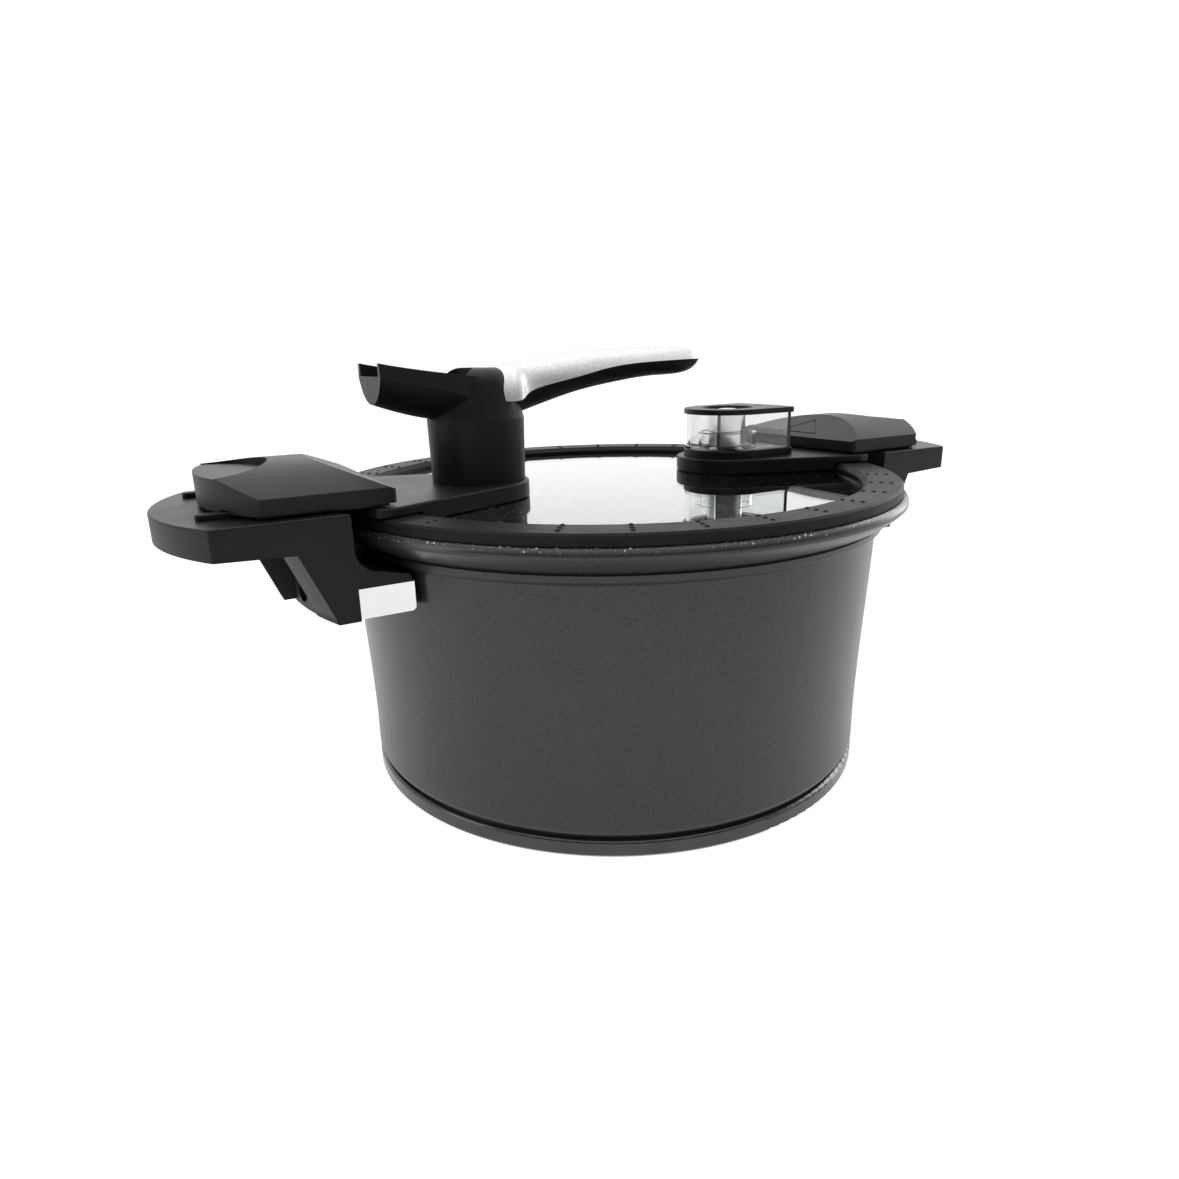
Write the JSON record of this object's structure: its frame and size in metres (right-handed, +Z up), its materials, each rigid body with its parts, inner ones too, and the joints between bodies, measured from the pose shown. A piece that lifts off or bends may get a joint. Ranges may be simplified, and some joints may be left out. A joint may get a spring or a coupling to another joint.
{
  "type": "stovetop pressure cooker",
  "caption": "Low-pressure stovetop cooker: round pot, glass lid with silicone rim, upright lid handle with spoon rest, weight valve and sliding lid locks on the side handles.",
  "frame": {"origin": "middle of the base, on the surface the pot stands on", "axes": "+Z up; X through the side handles, with the valve at +X and the lid handle's post at -X; Y to the sides"},
  "size_m": [0.392, 0.2682, 0.1891],
  "materials": {
    "pot_paint": "fine metallic charcoal, semi-gloss",
    "base_paint": "dark semi-gloss",
    "lug_metal": "as cast",
    "black_plastic": "satin, fine texture",
    "guard_chrome": "mirror bright",
    "fastener_steel": "plain",
    "clamp_steel": "stamped, smooth",
    "lid_glass": "clear, tempered",
    "gasket_silicone": "satin silicone",
    "pad_silicone": "silicone sheet",
    "cover_silver": "silver metallic lacquer",
    "insert_brass": "machined",
    "clear_plastic": "clear, polished",
    "weight_steel": "polished",
    "button_plastic": "smooth"
  },
  "bodies": {
    "cooker": {"base_disc": "base_paint", "filter_cap": "clamp_steel", "glass_lid": "lid_glass", "handle_bolt": "fastener_steel", "handle_head": "black_plastic", "handle_post": "black_plastic", "head_insert": "insert_brass", "left_bridge": "black_plastic", "left_bridge_pad": "pad_silicone", "left_bridge_screw": "fastener_steel", "left_clamp_pad": "pad_silicone", "left_clamp_plate": "clamp_steel", "left_flame_guard": "guard_chrome", "left_handle_screws": "fastener_steel", "left_pot_lug": "lug_metal", "left_side_handle": "black_plastic", "lever_cover": "cover_silver", "nozzle_nut": "fastener_steel", "pot_body": "pot_paint", "right_bridge": "black_plastic", "right_bridge_pad": "pad_silicone", "right_bridge_screw": "fastener_steel", "right_clamp_pad": "pad_silicone", "right_clamp_plate": "clamp_steel", "right_flame_guard": "guard_chrome", "right_handle_screws": "fastener_steel", "right_pot_lug": "lug_metal", "right_side_handle": "black_plastic", "rim_gasket": "gasket_silicone", "valve_base_ring": "black_plastic", "valve_guard": "clear_plastic", "valve_inner_ring": "clear_plastic", "valve_nozzle": "clamp_steel", "valve_top_plate": "black_plastic"},
    "left_lock": {"left_lock_cover": "black_plastic", "left_lock_base": "black_plastic", "left_lock_screws": "fastener_steel"},
    "right_lock": {"right_lock_cover": "black_plastic", "right_lock_base": "black_plastic", "right_lock_screws": "fastener_steel"},
    "weight": {"valve_weight": "weight_steel", "weight_button": "button_plastic"}
  },
  "joints": [
    {"name": "left_lock_slide", "type": "slide", "parent": "cooker", "child": "left_lock", "axis": [-1, 0, 0], "range_m": [0, 0.015]},
    {"name": "right_lock_slide", "type": "slide", "parent": "cooker", "child": "right_lock", "axis": [1, 0, 0], "range_m": [0, 0.015]},
    {"name": "valve_weight_lift", "type": "slide", "parent": "cooker", "child": "weight", "axis": [0, 0, 1], "range_m": [0, 0.003]}
  ]
}
